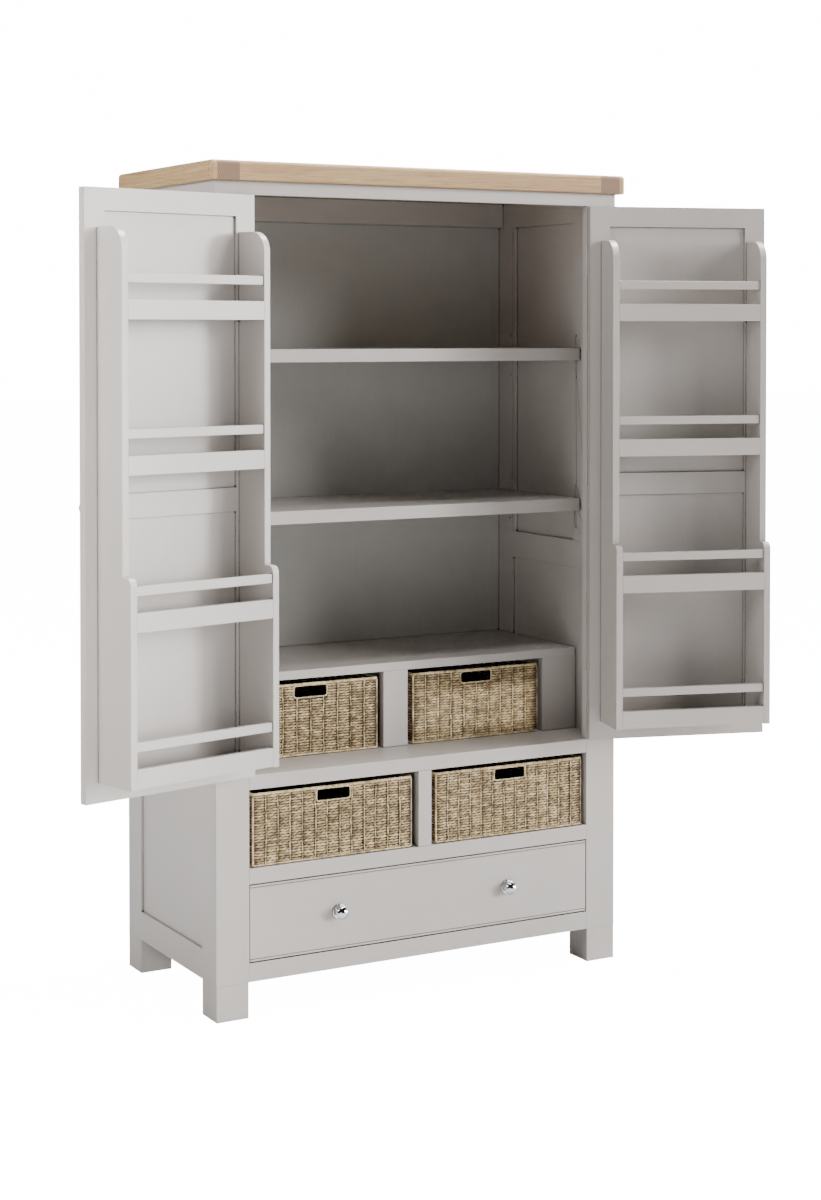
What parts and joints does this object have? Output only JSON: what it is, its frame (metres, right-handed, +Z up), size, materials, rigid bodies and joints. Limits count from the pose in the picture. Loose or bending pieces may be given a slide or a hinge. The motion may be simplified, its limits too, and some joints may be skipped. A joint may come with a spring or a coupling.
{
  "type": "pantry cabinet",
  "caption": "Tall painted larder cabinet with an oak top, hinged doors carrying spice racks, inner shelves, woven baskets and a wide drawer.",
  "frame": {"origin": "centre of the part's base at rest, with both doors standing open, on the floor", "axes": "+Z up, +Y towards the back of the cabinet, +X towards its right-hand side seen from the front"},
  "size_m": [1.7558, 0.775, 1.9],
  "materials": {
    "painted_wood": "satin warm grey paint",
    "oak": "light natural oak, matt oil",
    "drawer_wood": "lacquered pale wood",
    "seagrass": "twisted natural seagrass, woven",
    "chrome": "polished",
    "steel": "bright zinc",
    "painted_hinge": "painted with the cabinet"
  },
  "bodies": {
    "cabinet": {"top_board": "oak", "top_end_left": "oak", "top_end_right": "oak", "leg_front_left": "painted_wood", "leg_front_right": "painted_wood", "leg_back_left": "painted_wood", "leg_back_right": "painted_wood", "side_frame_left": "painted_wood", "side_frame_right": "painted_wood", "side_panels_left": "painted_wood", "side_panels_right": "painted_wood", "shelf_pin_strips": "painted_wood", "face_stile_left": "painted_wood", "face_stile_right": "painted_wood", "face_rail_top": "painted_wood", "face_rail_deck": "painted_wood", "face_rail_drawer": "painted_wood", "face_rail_bottom": "painted_wood", "basket_divider": "painted_wood", "deck_board": "painted_wood", "basket_floor": "painted_wood", "bottom_board": "painted_wood", "basket_guides": "painted_wood", "back_panel": "painted_wood", "back_top_rail": "painted_wood", "unit_top": "painted_wood", "unit_sides": "painted_wood", "unit_divider": "painted_wood", "shelf_upper": "painted_wood", "shelf_lower": "painted_wood", "shelf_pins": "steel", "frame_hinge_leaves": "painted_hinge", "hinge_pins": "steel", "door_magnets": "steel", "drawer_runners": "drawer_wood"},
    "left_door": {"door_frame_left": "painted_wood", "door_panels_left": "painted_wood", "rack_sides_left": "painted_wood", "rack_shelves_left": "painted_wood", "rack_rails_left": "painted_wood", "door_knob_left": "chrome", "door_hinge_leaves_left": "painted_hinge", "strike_disc_left": "steel"},
    "right_door": {"door_frame_right": "painted_wood", "door_panels_right": "painted_wood", "rack_sides_right": "painted_wood", "rack_shelves_right": "painted_wood", "rack_rails_right": "painted_wood", "door_knob_right": "chrome", "door_hinge_leaves_right": "painted_hinge", "strike_disc_right": "steel"},
    "drawer": {"drawer_front": "painted_wood", "drawer_sides": "drawer_wood", "drawer_back": "drawer_wood", "drawer_bottom": "drawer_wood", "drawer_knobs": "chrome"},
    "upper_left_basket": {"basket_upper_left": "seagrass"},
    "upper_right_basket": {"basket_upper_right": "seagrass"},
    "lower_left_basket": {"basket_lower_left": "seagrass"},
    "lower_right_basket": {"basket_lower_right": "seagrass"}
  },
  "joints": [
    {"name": "left_door_hinge", "type": "hinge", "parent": "cabinet", "child": "left_door", "pos_m": [-0.44405, -0.13852, 1.1835], "axis": [0, 0, -1], "range_deg": [-167, 8]},
    {"name": "right_door_hinge", "type": "hinge", "parent": "cabinet", "child": "right_door", "pos_m": [0.44995, -0.13852, 1.1835], "axis": [0, 0, 1], "range_deg": [-164, 11]},
    {"name": "drawer_slide", "type": "slide", "parent": "cabinet", "child": "drawer", "axis": [0, -1, 0], "range_m": [0, 0.34]},
    {"name": "upper_left_basket_slide", "type": "slide", "parent": "cabinet", "child": "upper_left_basket", "axis": [0, -1, 0], "range_m": [0, 0.26]},
    {"name": "upper_right_basket_slide", "type": "slide", "parent": "cabinet", "child": "upper_right_basket", "axis": [0, -1, 0], "range_m": [0, 0.26]},
    {"name": "lower_left_basket_slide", "type": "slide", "parent": "cabinet", "child": "lower_left_basket", "axis": [0, -1, 0], "range_m": [0, 0.36]},
    {"name": "lower_right_basket_slide", "type": "slide", "parent": "cabinet", "child": "lower_right_basket", "axis": [0, -1, 0], "range_m": [0, 0.36]}
  ]
}
